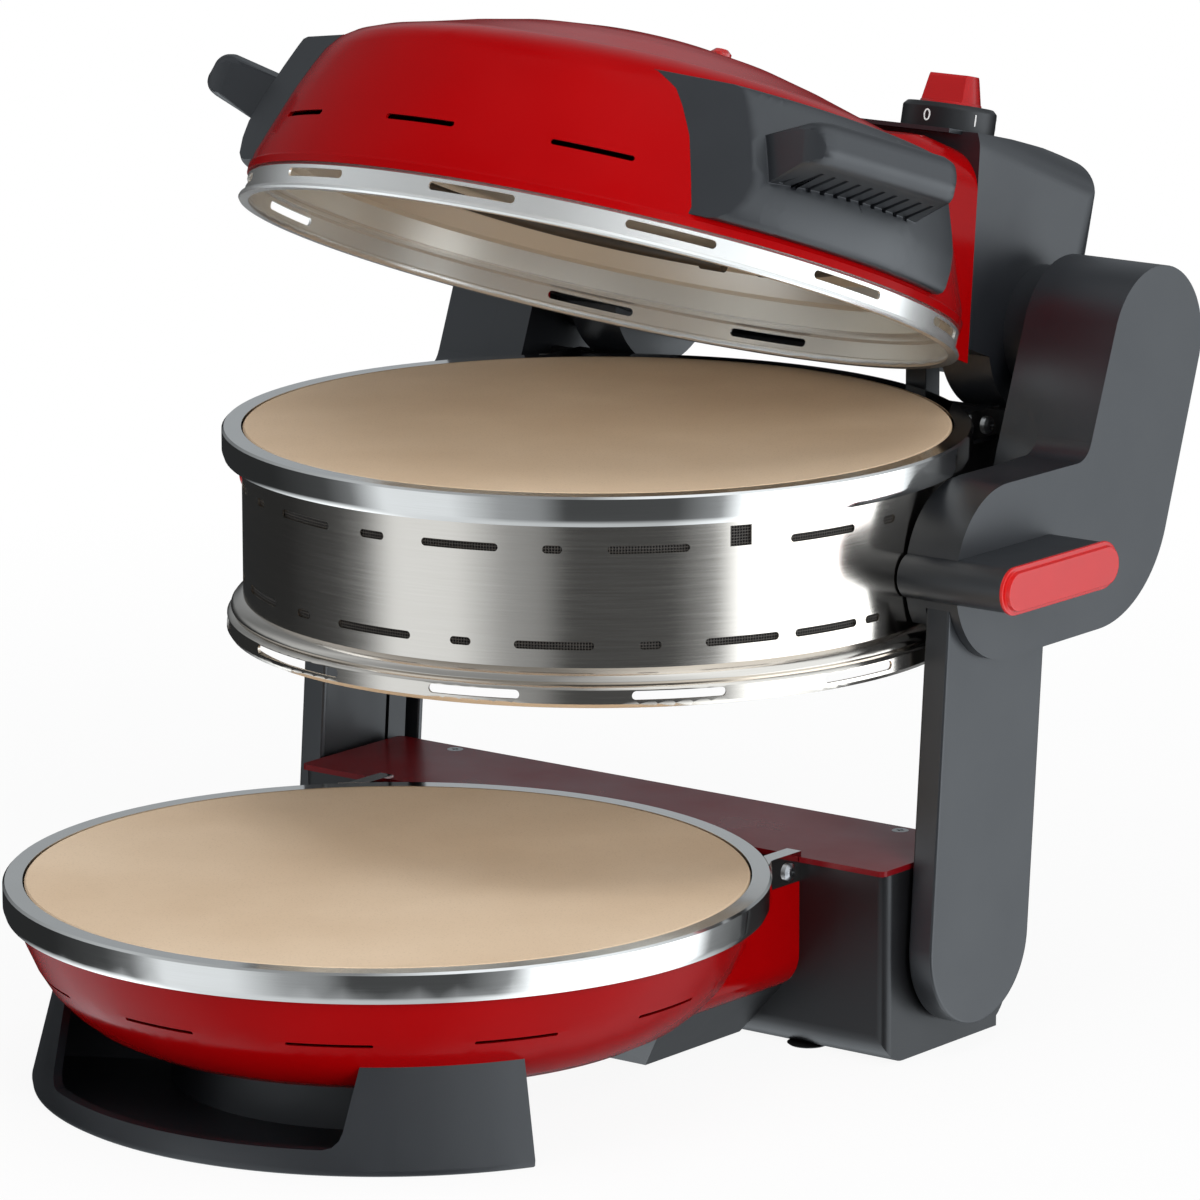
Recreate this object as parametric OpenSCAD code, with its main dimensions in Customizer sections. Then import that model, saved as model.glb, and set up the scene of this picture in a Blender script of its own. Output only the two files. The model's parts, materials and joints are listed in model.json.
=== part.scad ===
// Two-deck electric pizza maker: the middle deck lifts up and back on
// level-keeping arms, and the domed lid tilts on the middle deck.
// Millimetres, +Z up, front at -Y, origin on the table under the middle.

/* [Decks] */
// radius of both baking stones
stone_r = 165; // [120:1:200]
// thickness of a baking stone
stone_t = 12.6; // [8:0.1:20]
// height of the lower deck's rim above the table
deck_h = 95.5; // [80:0.5:130]
// height of the middle deck, seat to rim
mid_h = 97; // [80:0.5:120]
// width of the bright rim around a stone
rim_w = 9.7; // [6:0.1:16]
// height of the bright rim band
rim_h = 14; // [8:0.5:20]
// sheet metal thickness
sheet = 1.2; // [0.8:0.1:2]

/* [Lift] */
// how far back the middle deck goes when it is lifted
lift_back = 156; // [100:1:200]
// how far up it goes
lift_up = 87.5; // [60:0.5:120]
// backward lean of the lifted arms, degrees
arm_lean = 4.5; // [0:0.1:10]
// width of an arm
arm_w = 78; // [50:1:90]
// thickness of an arm
arm_t = 13; // [10:0.5:20]
// inner face of an arm, from the centre plane
arm_x = 176; // [150:1:220]
// radius of the lower cross shaft
shaft_r = 7; // [5:0.5:10]
// radius of the upper arm pins
pin_r = 5; // [3:0.5:8]
// radius of the levelling link pins
link_pin_r = 4; // [2:0.5:6]

/* [Lid] */
// height of the dome over the lid's lower edge
dome_h = 115.6; // [80:0.1:140]
// angle the lid stands open, degrees
lid_open = 21; // [0:0.1:60]
// hinge axis behind the deck's centre
hinge_back = 179.5; // [175:0.5:200]
// hinge axis above the middle rim
hinge_up = 32.3; // [25:0.5:45]
// radius of the hinge pins
hinge_pin_r = 6; // [4:0.5:9]
// direction of a side handle, degrees from the front
handle_az = 76; // [60:1:90]
// length of a side grip
grip_l = 87; // [60:1:120]

/* [Knob] */
// distance of the knob from the centre plane
knob_x = 84; // [60:1:95]
// radius of the numbered ring
bezel_r = 22.3; // [15:0.1:30]
// height of the numbered ring
bezel_h = 12.5; // [5:0.5:15]
// height of the red knob
knob_h = 15; // [8:0.5:25]

/* [Fits] */
// radial clearance of a pin that turns
run_fit = 0.05; // [0.01:0.01:0.1]
// clearance between bodies that pass each other
pass_gap = 0.3; // [0.2:0.1:1]

/* [Hidden] */
$fn = 96;
eps = 0.01;
rim_r = stone_r + rim_w;                  // outside of the rims
wall_r = stone_r + 0.5;                   // outside of the middle wall
skirt_r = stone_r + 3.5;                  // outside of the lid skirt
dome_r = stone_r + 4.3;                   // lower edge of the dome
hood_x = 125;                             // half width of the rear hoods
box_x = 173;                              // half width of the base box
box_y = 147;                              // front face of the rear boxes
box_d = 94.7;                             // depth of the base box below the rim
hub_r = 42;                               // round back of the lid housing
// the rear corner of the open lid sets the back of the bounding box
back_y = lift_back + hinge_back + 23.5*cos(lid_open) + 64*sin(lid_open) + 15;
low_y = (rim_r - back_y)/2;               // lower deck axis
// upper arm pivot, in the middle deck's frame
arm_up = [57, -55.5];
// arm length that joins the open and closed places of the pivot
arm_l = (lift_back*lift_back + lift_up*lift_up)
      /(2*(lift_back*sin(arm_lean) + lift_up*cos(arm_lean)));
// upper and lower arm pivots, in the lower deck's frame
arm_p2 = [lift_back + arm_up[0], lift_up + mid_h - 0 + arm_up[1]];
arm_p1 = [arm_p2[0] - arm_l*sin(arm_lean), arm_p2[1] - arm_l*cos(arm_lean)];
arm_swing = arm_lean + atan2(arm_p1[0] - arm_up[0], arm_up[1] + mid_h - arm_p1[1]);
// offset of the levelling link's pivots from the arm's, halfway in its swing
link_d = 26.8;
link_a = arm_swing/2 - arm_lean;
link_o = [link_d*cos(link_a), link_d*sin(link_a)];
foot_a = 62.5;                            // half angle of the front foot
tail = 12;                                // lower lobe below its pivot
knob_y = 129;
panel_a = 8;                              // slope of the control panel

// piece to draw

// ---------- frames ----------
module at_low() { translate([0, low_y, deck_h]) children(); }
module at_mid() { translate([0, low_y + lift_back, deck_h + lift_up + mid_h]) children(); }
module at_lid() {
    at_mid() translate([0, hinge_back, hinge_up]) rotate([-lid_open, 0, 0])
        translate([0, -hinge_back, -hinge_up]) children();
}
module left() { mirror([1, 0, 0]) children(); }
module both() { children(); mirror([1, 0, 0]) children(); }
// a flat outline given in (y, z), made solid from x = a to x = b
module slab(a, b) { translate([a, 0, 0]) rotate([90, 0, 90]) linear_extrude(b - a) children(); }
// a pin along X at (y, z)
module rod(p, r, a, b, fn = 48) { slab(a, b) translate(p) circle(r, $fn = fn); }
// two circles joined by their outer tangents
module link2d(p, rp, q, rq) {
    d = norm(q - p); a = atan2(q[1] - p[1], q[0] - p[0]); b = acos((rp - rq)/d);
    translate(p) circle(rp); translate(q) circle(rq);
    polygon([p + rp*[cos(a + b), sin(a + b)], q + rq*[cos(a + b), sin(a + b)],
             q + rq*[cos(a - b), sin(a - b)], p + rp*[cos(a - b), sin(a - b)]]);
}
// a slot through a round wall: azimuth from the front, length on the wall
module wall_slot(az, len, h, z, r) {
    rotate([0, 0, az]) translate([0, -r, z]) rotate([90, 0, 0]) linear_extrude(12, center = true) {
        square([len - h, h], center = true);
        for (s = [-1, 1]) translate([s*(len - h)/2, 0]) circle(h/2, $fn = 24);
    }
}
// a rectangle with round corners, drawn from circles and squares
module round_rect(x0, y0, x1, y1, r) {
    translate([x0 + r, y0]) square([x1 - x0 - 2*r, y1 - y0]);
    translate([x0, y0 + r]) square([x1 - x0, y1 - y0 - 2*r]);
    for (x = [x0 + r, x1 - r], y = [y0 + r, y1 - r]) translate([x, y]) circle(r, $fn = 48);
}
// a heating rod: an open ring with a sleeve on each end
module heater(r, z, rr) translate([0, 0, z]) {
    rotate([0, 0, 102]) rotate_extrude(angle = 336) translate([r, 0]) circle(rr, $fn = 48);
    both() rotate([0, 0, 102]) translate([r, 0, 0]) rotate([90, 0, 0]) cylinder(12, rr + 1.2, rr + 1.2, $fn = 48);
}

// ---------- lower deck ----------
// outline of the bowl from its rim to its centre
bowl = [[170, -rim_h], [165.5, -25], [160.5, -36], [154.5, -45.5], [148, -52.5],
        [140, -59], [130, -64], [118, -67.5], [104, -68.5], [0, -68.5]];
module bowl_solid(g) {
    rotate_extrude($fn = 144) polygon(concat([for (p = bowl) [p[0] > 0 ? p[0] + g : 0, p[1] - g]],
        [[0, 40], [rim_r + g + 0.2, 40], [rim_r + g + 0.2, -rim_h - g]]));
}
// cross-section of the hood behind the bowl
module low_hood2d(g = 0) {
    translate([-hood_x + 1 + g, -67 + g + 18]) square([2*hood_x - 2 - 2*g, 67 - 18 - rim_h]);
    translate([-hood_x + 1 + 18, -67 + g]) square([2*hood_x - 2 - 36, 67 - rim_h]);
    for (s = [-1, 1]) translate([s*(hood_x - 1 - 18), -67 + 18]) circle(18 - g, $fn = 64);
}
// side profile of the base box, (y, z)
module box2d(g = 0) {
    translate([box_y + g, -72]) square([98 - 2*g, 47]);
    translate([box_y + g, -50]) square([73, 45 - g]);
    translate([box_y + 22, -box_d + g]) square([53, 60]);
    translate([220, -30]) circle(25 - g);
    translate([222, -box_d + 23]) circle(23 - g);
    translate([box_y + 14, -box_d + 14]) circle(14 - g);
    translate([box_y + g, -box_d + 14]) square([20, 30]);
    translate([box_y + 14, -box_d + g]) square([75, 20]);
}
module base_housing() at_low() color("#2f3033") difference() {
    intersection() {
        slab(-box_x, box_x) box2d();
        translate([0, 0, -100]) linear_extrude(100) round_rect(-box_x, box_y, box_x, 260, 5);
    }
    slab(-box_x + 3, box_x - 3) box2d(3);
    bowl_solid(pass_gap);
    // open to the hood in front
    translate([0, box_y - 1, 0]) rotate([-90, 0, 0]) mirror([0, 1, 0]) linear_extrude(8) low_hood2d();
    both() rod(arm_p1, shaft_r + 3, box_x - 4, box_x + 1);
    both() rod(arm_p1 + link_o, link_pin_r, box_x - 4, box_x + 1);
    // cord hole
    translate([-110, 240, -52]) rotate([-90, 0, 0]) cylinder(10, 8, 8);
    for (x = [-133, 133]) translate([x, 214, -12]) cylinder(10, 2.1, 2.1, $fn = 24);
}
module base_pan() at_low() color("#1b1b1c") difference() {
    hull() {
        translate([-90, 75, -92]) cube([180, box_y - 75, 1]);
        translate([-119, 52, -60]) cube([238, box_y - 52, 1]);
    }
    hull() {
        translate([-87, 78, -89]) cube([174, box_y - 77.99, 1]);
        translate([-116, 55, -59.99]) cube([232, box_y - 54.99, 1]);
    }
    bowl_solid(0);
    translate([0, 50, 0]) rotate([-90, 0, 0]) mirror([0, 1, 0]) linear_extrude(box_y - 49) low_hood2d();
}
// curved foot: a tray-shaped sector under the bowl, with a hand recess in front
module front_foot() at_low() color("#3d3f44") difference() {
    rotate([0, 0, -90 - foot_a]) rotate_extrude(angle = 2*foot_a, $fn = 144)
        polygon([[151, -46], [162.8, -92], [162.4, -94.6], [160.8, -95.5], [98, -95.5], [96, -94], [90, -60], [90, -46]]);
    // hollow, with a wall at each end
    rotate([0, 0, -90 - foot_a + 1.6]) rotate_extrude(angle = 2*foot_a - 3.2, $fn = 144)
        polygon([[145.2, -40], [157.6, -92.3], [99.6, -92.3], [94, -60], [94, -40]]);
    bowl_solid(0);
    // recess: wide above, eased lower corners
    translate([0, -100, 0]) rotate([90, 0, 0]) linear_extrude(80)
        polygon([[-86.6, -40], [86.6, -40], [84.2, -76.4], [83.3, -80], [80.9, -82.9], [77.2, -84],
                 [-77.2, -84], [-80.9, -82.9], [-83.3, -80], [-84.2, -76.4]]);
}
module rubber_feet() at_low() color("#151515")
    for (x = [-120, 120], y = [160, 225]) translate([x, y, -deck_h]) cylinder(deck_h - box_d, 9, 10);
module top_plate() at_low() color([0.35, 0.02, 0.03]) difference() {
    translate([-box_x, box_y - 2, -5]) linear_extrude(2.6) round_rect(0, 0, 2*box_x, 75, 3);
    bowl_solid(pass_gap);
    for (x = [-133, 133], y = [214]) translate([x, y, -5.1]) {
        cylinder(4, 2.1, 2.1, $fn = 24);
        translate([0, 0, 0.9]) cylinder(1.81, 2.1, 4.2, $fn = 32);
    }
    translate([-hood_x - 0.2, 100, -rim_h - 1]) cube([2*hood_x + 0.4, box_y - 100 + 0.2, 20]);
}
module top_plate_screws() at_low() color("#8c8c8e")
    for (x = [-133, 133], y = [214]) translate([x, y, -5]) difference() {
        union() {
            translate([0, 0, -6]) cylinder(7, 2, 2, $fn = 24);
            translate([0, 0, 0.8]) cylinder(1.8, 2, 4, $fn = 32);
        }
        translate([0, 0, 1.4]) for (a = [0, 90]) rotate([0, 0, a]) translate([-2, -0.4, 0]) cube([4, 0.8, 2]);
    }
module lower_shell() at_low() color("#c4120e") {
    difference() {
        union() {
            rotate_extrude($fn = 144) polygon(concat(bowl, [[0, -67.5], [0, -66.9], [104, -66.9], [117.6, -65.9],
                [129.2, -62.5], [139, -57.6], [146.7, -51.4], [153.1, -44.6], [159, -35.3], [163.9, -24.6],
                [167.6, -rim_h - 1.6], [158, -rim_h - 1.6], [158, -rim_h]]));
            // straight hood that joins the bowl to the rear box
            difference() {
                translate([0, 70, 0]) rotate([-90, 0, 0]) mirror([0, 1, 0]) linear_extrude(box_y - 70) low_hood2d();
                translate([0, 60, 0]) rotate([-90, 0, 0]) mirror([0, 1, 0]) linear_extrude(box_y - 50) low_hood2d(1.6);
                translate([0, 0, 0]) bowl_inside();
            }
        }
        for (az = [-150 : 30 : 180]) if (abs(az) <= 105) bowl_slot(az);
    }
}
// the room inside the bowl's sheet
module bowl_inside() rotate_extrude($fn = 144) polygon([[0, -67], [104, -67], [117.6, -66], [129.2, -62.6],
    [139, -57.7], [146.7, -51.5], [153.1, -44.7], [159, -35.4], [163.9, -24.7], [168.2, -rim_h + 0.01], [0, -rim_h + 0.01]]);
module bowl_slot(az) wall_slot(az, 39, 1.6, -36.8, 158);
// bright rim: top flange, band and the lip that carries the stone
module rim2d(h, lip) polygon([[stone_r + 0.6, 0], [rim_r - 1, 0], [rim_r, -1], [rim_r, -h + 3], [rim_r - 1, -h], [lip, -h],
    [lip, -stone_t], [rim_r - 2.3, -stone_t], [rim_r - sheet, -h + 3.4], [rim_r - sheet, -sheet - 0.4],
    [rim_r - sheet - 0.6, -sheet], [stone_r + 0.6, -sheet]]);
// straight ear that carries the rim back to the rear box, with a hollow fillet
module ear2d(g = 0) {
    f = 12;                               // fillet radius
    c = [hood_x + f, sqrt(pow(rim_r + f, 2) - pow(hood_x + f, 2))];
    difference() {
        union() {
            translate([hood_x - 8, 112]) square([8 - g, box_y - 112]);
            polygon([[hood_x - 8, 112], c*(rim_r - 2)/norm(c), c*rim_r/norm(c), c, [hood_x - 8, c[1]]]);
        }
        translate(c) circle(f + g);
        translate([hood_x - g, c[1] - 0.01]) square([f, 40]);
        circle(rim_r - 0.6, $fn = 144);
    }
}
module rim_ear(h) both() difference() {
    union() {
        translate([0, 0, -sheet]) linear_extrude(sheet) ear2d();
        translate([0, 0, -h]) linear_extrude(h) difference() { ear2d(); ear2d(sheet); }
    }
    rod([box_y - 10, -8], 2.1, hood_x - 5, hood_x + 2, 24);
}
module rim_screws() both() difference() {
    union() {
        rod([box_y - 10, -8], 2, hood_x - 4, hood_x + eps, 24);
        translate([hood_x, box_y - 10, -8]) rotate([0, 90, 0]) cylinder(1.2, 4.2, 4.2, $fn = 32);
        translate([hood_x + 1.2, box_y - 10, -8]) rotate([0, 90, 0]) cylinder(1.2, 4.2, 2.4, $fn = 32);
    }
    for (a = [0, 90]) translate([hood_x + 3, box_y - 10, -8]) rotate([a, 0, 0]) cube([3, 4, 0.8], center = true);
}
module lower_rim() at_low() color("#c9c9cb") {
    rotate_extrude($fn = 144) rim2d(rim_h, 158);
    rim_ear(rim_h);
}
module lower_rim_screws() at_low() color("#b8b8ba") rim_screws();
module stone() translate([0, 0, -stone_t]) {
    cylinder(stone_t - 0.8, stone_r - 0.2, stone_r - 0.2, $fn = 144);
    translate([0, 0, stone_t - 0.8 - eps]) cylinder(0.8, stone_r - 0.2, stone_r - 1, $fn = 144);
}
module lower_stone() at_low() color("#c2a987") stone();
module lower_heater() at_low() color("#5a5552") heater(108, -23.3, 3.3);
module lower_reflector() at_low() color("#b5b5b7") rotate_extrude($fn = 144)
    polygon([[0, -28], [148, -28], [156.8, -15.6], [158, -15.6], [157.8, -16.9], [149, -29.2], [0, -29.2]]);
module shaft_bushes() at_low() color("#a98a4a") both() difference() {
    union() {
        rod(arm_p1, shaft_r + 3, box_x - 6, box_x);
        rod(arm_p1, shaft_r + 5, box_x, box_x + 1.2);
        rod(arm_p1, shaft_r + 5, box_x - 4.2, box_x - 3);
    }
    rod(arm_p1, shaft_r + run_fit, box_x - 10, box_x + 10);
}
// headed pin for a levelling link; a = its root
module link_pin(p, a) {
    rod(p, link_pin_r, a, arm_x + 9.4);
    rod(p, link_pin_r + 2, arm_x + 9.2, arm_x + 10.2);
}
module link_low_pins() at_low() color("#8f8f92") both() {
    link_pin(arm_p1 + link_o, box_x - 8);
    rod(arm_p1 + link_o, link_pin_r + 3, box_x - 5, box_x - 3);
    rod(arm_p1 + link_o, link_pin_r + 2, box_x, arm_x + 2.8);
}
module cord_gland() at_low() color("#1a1a1a") translate([-110, 240, -52]) rotate([-90, 0, 0]) difference() {
    union() {
        cylinder(2, 11, 11);
        translate([0, 0, 1.9]) cylinder(3.2, 7.9, 7.9);
        translate([0, 0, 5]) cylinder(2, 11, 11);
        translate([0, 0, 6.9]) cylinder(18, 7.5, 5.5);
    }
    translate([0, 0, -1]) cylinder(40, 3.6, 3.6);
}

// ---------- lifting arms ----------
// everything on an arm is drawn upright: pivot at 0, other pivot at (0, arm_l)
module on_arm(a = 0) at_low() translate([0, arm_p1[0], arm_p1[1]]) rotate([-arm_lean, 0, 0]) children();
module arm2d(g = 0) {
    translate([0, -tail]) circle(arm_w/2 - g);
    translate([0, arm_l]) circle(arm_w/2 - g);
    translate([-arm_w/2 + g, -tail]) square([arm_w - 2*g, arm_l + tail]);
}
module arm_cover() on_arm() difference() {
    slab(arm_x, arm_x + arm_t) arm2d();
    slab(arm_x - 1, arm_x + arm_t - 2.5) arm2d(3.5);
    rod([0, arm_l], pin_r + run_fit, arm_x, arm_x + arm_t + 1);
}
module arm_link() on_arm() difference() {
    union() {
        // pressed channel: web and two flanges
        difference() {
            slab(arm_x + 2, arm_x + arm_t - 2.5) intersection() {
                arm2d(4);
                translate([-34, -60]) square([46, arm_l + 120]);
            }
            slab(arm_x + 4, arm_x + arm_t) intersection() {
                arm2d(6.5);
                translate([-31.5, -60]) square([41, arm_l + 120]);
            }
        }
        rod([0, 0], shaft_r + 4, arm_x + 2, arm_x + arm_t - 2.5);
        rod([0, arm_l], pin_r + 5, arm_x + 2, arm_x + arm_t - 2.5);
    }
    rod([0, 0], shaft_r, arm_x, arm_x + 20);
    rod([0, arm_l], pin_r + run_fit, arm_x, arm_x + 20);
}
module arm_cover_left() color("#3a3c40") left() arm_cover();
module arm_cover_right() color("#3a3c40") arm_cover();
module arm_link_left() color("#303134") left() arm_link();
module arm_link_right() color("#303134") arm_link();
module arm_shaft() color("#8d8d90") on_arm() rod([0, 0], shaft_r, -arm_x - arm_t + 2.5, arm_x + arm_t - 2.5);
module level_link() at_low() translate([0, arm_p1[0] + link_o[0], arm_p1[1] + link_o[1]])
    rotate([-arm_lean, 0, 0]) difference() {
        slab(arm_x + 3, arm_x + 9) {
            circle(8); translate([0, arm_l]) circle(8);
            translate([-6.5, 0]) square([13, arm_l]);
        }
        rod([0, 0], link_pin_r + run_fit, arm_x, arm_x + 20);
        rod([0, arm_l], link_pin_r + run_fit, arm_x, arm_x + 20);
    }
module level_link_left() color("#333437") left() level_link();
module level_link_right() color("#333437") level_link();

// ---------- middle deck ----------
// room that the deck's rings need, for the parts around them
module ring_room(g) {
    translate([0, 0, -mid_h - 5]) cylinder(mid_h + 5.1, wall_r + g, wall_r + g, $fn = 144);
    translate([0, 0, -rim_h - g]) cylinder(rim_h + 60, rim_r + g, rim_r + g, $fn = 144);
    translate([0, 0, -mid_h - 5]) cylinder(25 + g, rim_r - 1 + g, rim_r - 1 + g, $fn = 144);
}
module mid_rim() at_mid() color("#c9c9cb") {
    rotate_extrude($fn = 144) rim2d(rim_h - 0.4, wall_r - 3.3);
    rim_ear(rim_h - 0.4);
}
module mid_rim_screws() at_mid() color("#b8b8ba") rim_screws();
module mid_wall() at_mid() color("#a9a49c") difference() {
    rotate_extrude($fn = 144) translate([wall_r - sheet, -79.6]) square([sheet, 79.6 - rim_h + 0.4]);
    for (s = [0, 1]) mirror([s, 0, 0]) {
        for (a = [15 : 30 : 75]) wall_slot(a + 0.8, 37, 3.7, -25.7, wall_r);
        for (a = [0, 30, 90]) wall_slot(a + 0.8, 9, 3.7, -25.7, wall_r);
        for (a = [1, 31, 61, 76.5]) wall_slot(a, 36, 3.7, -69.5, wall_r);
        for (a = [16, 46, 86.6]) wall_slot(a, 10, 3.7, -69.5, wall_r);
    }
    // square window beside the short slots
    rotate([0, 0, 60.6]) translate([-5.2, -wall_r - 3, -26.5]) cube([10.4, 8, 9.4]);
}
module mid_mesh() at_mid() color("#2c2a28") rotate_extrude($fn = 144)
    translate([wall_r - sheet - 0.55, -79]) square([0.5, 64.9]);
// beaded lower flange with long slots
module mid_flange() at_mid() color("#bdb8b0") difference() {
    rotate_extrude($fn = 144) polygon([[wall_r - sheet, -79.6], [wall_r, -79.6], [wall_r + 1.6, -80.6], [wall_r + 4.4, -81.8],
        [rim_r - 3.6, -83.4], [rim_r - 3.4, -84.8], [rim_r - 4.4, -86], [rim_r - 2.6, -86.8], [rim_r - 1.6, -88],
        [rim_r - 1.4, -94.4], [rim_r - 2.6, -96.2], [rim_r - 4.4, -mid_h + pass_gap], [rim_r - 9, -mid_h + pass_gap],
        [rim_r - 9, -mid_h + pass_gap + sheet], [rim_r - 5, -mid_h + pass_gap + sheet], [rim_r - 3.6, -94.8],
        [rim_r - 2.7, -93.6], [rim_r - 2.8, -88.4], [rim_r - 6, -86.8], [rim_r - 6, -85.4], [rim_r - 5, -84.4],
        [wall_r + 3.6, -83], [wall_r, -81.4], [wall_r - sheet, -80.6]]);
    for (s = [0, 1]) mirror([s, 0, 0]) for (a = [19, 50, 81]) wall_slot(a, 43, 4.2, -90.6, rim_r - 2);
    wall_slot(-12, 43, 4.2, -90.6, rim_r - 2);
    wall_slot(170, 43, 4.2, -90.6, rim_r - 2);
}
module mid_stone() at_mid() color("#c2a987") stone();
// pan under the upper stone, with the stone's heater lying in it
module mid_tray() at_mid() color("#b0aeab") rotate_extrude($fn = 144)
    polygon([[0, -31], [150, -31], [158, -stone_t], [162, -stone_t], [162, -stone_t - sheet], [158.8, -stone_t - sheet],
             [150.9, -32.2], [0, -32.2]]);
module mid_heater() at_mid() color("#5a5552") heater(108, -26.3, 3.3);
// ceiling of the lower chamber, with its heater below
module mid_reflector() at_mid() color("#b5b5b7") rotate_extrude($fn = 144)
    polygon([[0, -66], [140, -66], [162, -78.9], [wall_r - sheet - 0.6, -78.9], [wall_r - sheet - 0.6, -80.3],
             [161.6, -80.3], [139.6, -67.2], [0, -67.2]]);
module mid_low_heater() at_mid() color("#5a5552") heater(108, -71.9, 3.3);
// black box behind the deck, with a round trough for the lid's hinge hub
module mid_housing() at_mid() color("#2a2b2e") difference() {
    union() {
        slab(-143, 143) mid_box2d();
        // floor flange under the ring's ears
        translate([-hood_x + sheet, 118, -rim_h - 2]) cube([2*hood_x - 2*sheet, box_y - 117, 2]);
    }
    slab(-140, 140) mid_box2d(3);
    ring_room(pass_gap);
    rod([hinge_back, hinge_up], hub_r + 1.5, -hood_x - 3, hood_x + 3, 96);
}
// side profile of the middle box, (y, z): a low strip, then a sunk back
module mid_box2d(g = 0) {
    polygon([[box_y + g, -92 + g], [box_y + 33, -92 + g], [box_y + 63 - g, -62], [box_y + 63 - g, -17 - g],
             [box_y + 15, -17 - g], [box_y + 5.6, -2.4 - g], [box_y + g, -2.4 - g]]);
    translate([box_y + 33, -62]) circle(30 - g);
}
module wire_post() at_mid() color("#2b2b2d") {
    translate([57, 166, -17]) cube([12, 12, 38]);
    translate([55, 164.5, -17]) cube([16, 15, 2.5]);
}
// outline of the elbow that joins the arms, the deck and the lid hinge
module elbow2d(fillet = true) {
    translate([55.5, -55]) circle(41);
    intersection() { translate([130, -37]) circle(58.5); translate([129, -97]) square([62, 60]); }
    translate([176.5, 32.5]) circle(37);
    polygon([[141.9, 45.6], [119.4, -14], [55.5, -14], [55.5, -96], [130, -95.5], [184.7, -57.8], [211.1, 19.4]]);
    if (fillet) difference() {
        polygon([[112, -14.1], [119.3, -14.1], [122.4, -6]]);
        translate([111.4, -2.6]) circle(11.4);
    }
}
// the inner half covers only the upright leg
module leg2d() intersection() {
    elbow2d(false);
    polygon([[103.5, -60], [103.5, -96], [230, -96], [230, 90], [150, 90], [119.4, -14]]);
}
// ground that the arm covers while it swings, seen from the elbow
module arm_sweep2d() translate(arm_up) {
    r = arm_w/2 + pass_gap;
    circle(r);
    for (a = [-arm_lean, arm_swing - arm_lean]) rotate(a) translate([-r, -200]) square([2*r, 200]);
    polygon([[0, 0], [-220*sin(arm_lean), -220*cos(arm_lean)], 260*[sin(arm_swing/2 - arm_lean), -cos(arm_swing/2 - arm_lean)],
             220*[sin(arm_swing - arm_lean), -cos(arm_swing - arm_lean)]]);
}
module elbow_outer() at_mid() difference() {
    union() {
        slab(164, 194) difference() {
            elbow2d();
            translate([140, -22]) circle(eps);
        }
    }
    slab(arm_x - pass_gap, arm_x + arm_t + pass_gap) arm_sweep2d();
    // the lower bar stands clear of the deck's rings
    ring_room(pass_gap);
    translate([160, -20, -100]) cube([5.8, 120, 90]);
    rod(arm_up, pin_r, 166, 192);
    rod(arm_up + link_o, link_pin_r, 168, 180);
    rod([hinge_back, hinge_up], hinge_pin_r, 160, 180);
    grip_cut();
}
module elbow_inner() at_mid() difference() {
    slab(143, 164) leg2d();
    slab(147, 164 + eps) leg_pocket2d();
    ring_room(pass_gap);
    rod([hinge_back, hinge_up], hinge_pin_r, 140, 170);
}
// hollow of the inner half
module leg_pocket2d() difference() {
    polygon([[128, -60], [134, -14], [148, 24], [158, 30], [196, 10], [176, -52], [150, -80], [128, -84]]);
    translate([hinge_back, hinge_up]) circle(hinge_pin_r + 8);
}
module elbow_outer_left() color("#3c3e43") left() elbow_outer();
module elbow_outer_right() color("#3c3e43") elbow_outer();
module elbow_inner_left() color("#303236") left() elbow_inner();
module elbow_inner_right() color("#303236") elbow_inner();
// lift grip: an oblong bar on the elbow's outer face, with a nose round its front
grip_c = [53, -54];
module grip2d(l = 91, h = 21) {
    for (s = [-1, 1]) translate(grip_c + [s*(l - h)/2, 0]) circle(h/2, $fn = 64);
    translate(grip_c - [(l - h)/2, h/2]) square([l - h, h]);
}
module nose2d() intersection() { grip2d(); translate([-10, -70]) square([26.5, 40]); }
module grip_cut() slab(160, 194 + eps) nose2d();
module grip() at_mid() {
    slab(194, 223) grip2d();
    difference() {
        slab(166, 194 + eps) nose2d();
        ring_room(pass_gap);
    }
}
module grip_cap() at_mid() {
    slab(223, 225) grip2d(92.4, 22.4);
    slab(225 - eps, 227.5) grip2d(88, 18);
}
module grip_left() color("#3a3b3f") left() grip();
module grip_right() color("#3a3b3f") grip();
module grip_cap_left() color("#c8161a") left() grip_cap();
module grip_cap_right() color("#c8161a") grip_cap();
module arm_pins() at_mid() color("#8f8f92") both() rod(arm_up, pin_r, 166.2, 192);
module link_top_pins() at_mid() color("#8f8f92") both() {
    link_pin(arm_up + link_o, 168);
    rod(arm_up + link_o, link_pin_r + 2, arm_x - pass_gap, arm_x + 2.8);
}
module hinge_pins() at_mid() color("#8f8f92") both() rod([hinge_back, hinge_up], hinge_pin_r, 112, 180);

// ---------- lid ----------
dome = [[dome_r, 13], [dome_r, 16.4], [dome_r - 0.9, 17.6], [dome_r - 1.6, 22], [162.5, 37], [156.5, 54], [151, 67], [147.6, 74.4],
        [143, 80.9], [136.8, 85.3], [128, 89.1], [114.3, 93.2], [92.3, 100.2], [69.9, 106.3], [43, 111.4],
        [20, 114.5], [0, dome_h]];
module dome_solid(g) rotate_extrude($fn = 144) polygon(concat([[0, 13 - eps]],
    [for (p = dome) [max(0, p[0] - g), p[1] - (p[0] < 140 ? g : 0)]]));
// the dome's sheet: its outline and the same outline moved in
module dome_sheet(g) rotate_extrude($fn = 144) polygon(concat(dome,
    [for (i = [len(dome) - 1 : -1 : 0]) [max(0, dome[i][0] - g), dome[i][1] - (dome[i][0] < 140 ? g : 0)]]));
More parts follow.
